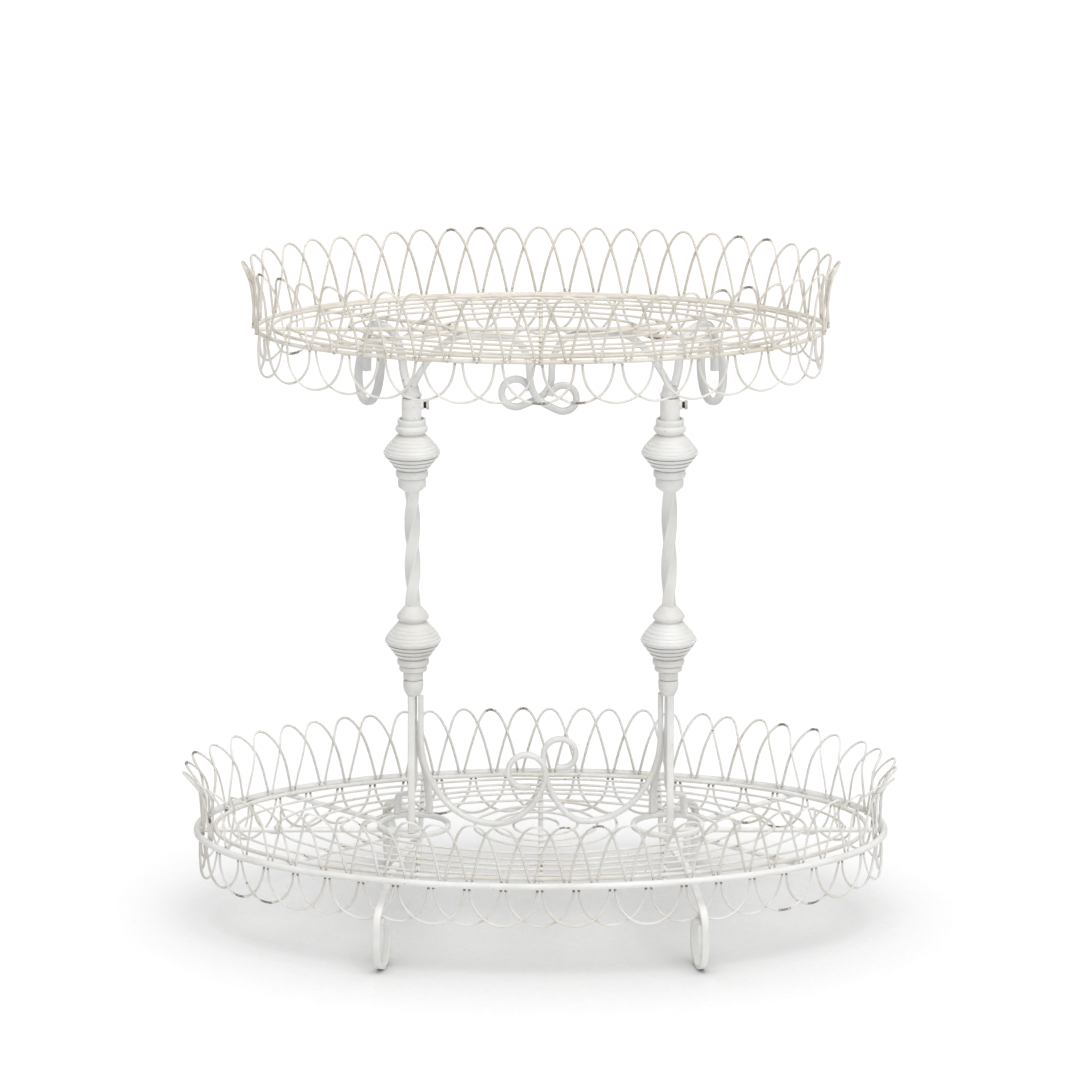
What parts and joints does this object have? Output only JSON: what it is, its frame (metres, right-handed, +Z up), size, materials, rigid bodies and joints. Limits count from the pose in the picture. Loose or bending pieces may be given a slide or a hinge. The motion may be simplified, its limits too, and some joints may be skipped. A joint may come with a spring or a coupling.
{
  "type": "two-tier wire plant stand",
  "caption": "Two-tier oval wirework plant stand with looped wire baskets, turned and twisted columns and scrolled feet.",
  "frame": {"origin": "middle of the stand at the level the feet stand on", "axes": "+X along the long side of the oval trays, +Z up, -Y towards the front"},
  "size_m": [0.833, 0.4758, 0.7842],
  "materials": {
    "white_paint": "semi-matte white paint, slightly worn",
    "cream_paint": "semi-matte cream paint, slightly worn",
    "grey_paint": "semi-matte grey-white paint, worn",
    "screw_paint": "painted steel, worn"
  },
  "bodies": {
    "stand": {"base_ring_left": "white_paint", "base_ring_right": "white_paint", "foot_left_front": "white_paint", "foot_left_rear": "white_paint", "foot_right_front": "white_paint", "foot_right_rear": "white_paint", "lower_arch_wire_inner": "white_paint", "lower_arch_wire_outer": "white_paint", "lower_axis_bar_left": "white_paint", "lower_axis_bar_right": "white_paint", "lower_centre_bar": "white_paint", "lower_cross_bar_left": "white_paint", "lower_cross_bar_right": "white_paint", "lower_diagonal_bar_left_front": "white_paint", "lower_diagonal_bar_left_rear": "white_paint", "lower_diagonal_bar_right_front": "white_paint", "lower_diagonal_bar_right_rear": "white_paint", "lower_floor_oval_1": "white_paint", "lower_floor_oval_2": "white_paint", "lower_floor_oval_3": "white_paint", "lower_floor_oval_4": "white_paint", "lower_floor_oval_5": "white_paint", "lower_floor_spiral": "white_paint", "lower_inner_ring": "white_paint", "lower_knop_left": "white_paint", "lower_knop_right": "white_paint", "lower_rim_rod": "white_paint", "lower_scallop_wire_inner": "white_paint", "lower_scallop_wire_outer": "white_paint", "scroll_left": "white_paint", "scroll_right": "white_paint", "sleeve_left": "white_paint", "sleeve_right": "white_paint", "strap_front_left": "white_paint", "strap_front_right": "white_paint", "strap_outer_left": "white_paint", "strap_outer_right": "white_paint", "strap_rear_left": "white_paint", "strap_rear_right": "white_paint", "twisted_bar_left": "white_paint", "twisted_bar_right": "white_paint", "upper_knop_left": "white_paint", "upper_knop_right": "white_paint"},
    "upper_tray": {"inner_arm_left": "grey_paint", "inner_arm_right": "grey_paint", "post_left": "grey_paint", "post_right": "grey_paint", "upper_arch_wire_inner": "cream_paint", "upper_arch_wire_outer": "cream_paint", "upper_floor_frame": "cream_paint", "upper_floor_oval_1": "cream_paint", "upper_floor_oval_2": "cream_paint", "upper_floor_oval_3": "cream_paint", "upper_floor_oval_4": "cream_paint", "upper_floor_oval_5": "cream_paint", "upper_rim_rod": "cream_paint", "upper_scallop_wire_inner": "cream_paint", "upper_scallop_wire_outer": "cream_paint"},
    "set_screw_left": {"set_screw_left": "screw_paint"},
    "set_screw_right": {"set_screw_right": "screw_paint"}
  },
  "joints": [
    {"name": "tray_lift", "type": "slide", "parent": "stand", "child": "upper_tray", "axis": [0, 0, 1], "range_m": [0, 0.05]},
    {"name": "set_screw_left_travel", "type": "slide", "parent": "stand", "child": "set_screw_left", "axis": [1, 0, 0], "range_m": [0, 0.004]},
    {"name": "set_screw_right_travel", "type": "slide", "parent": "stand", "child": "set_screw_right", "axis": [1, 0, 0], "range_m": [0, 0.004]}
  ]
}
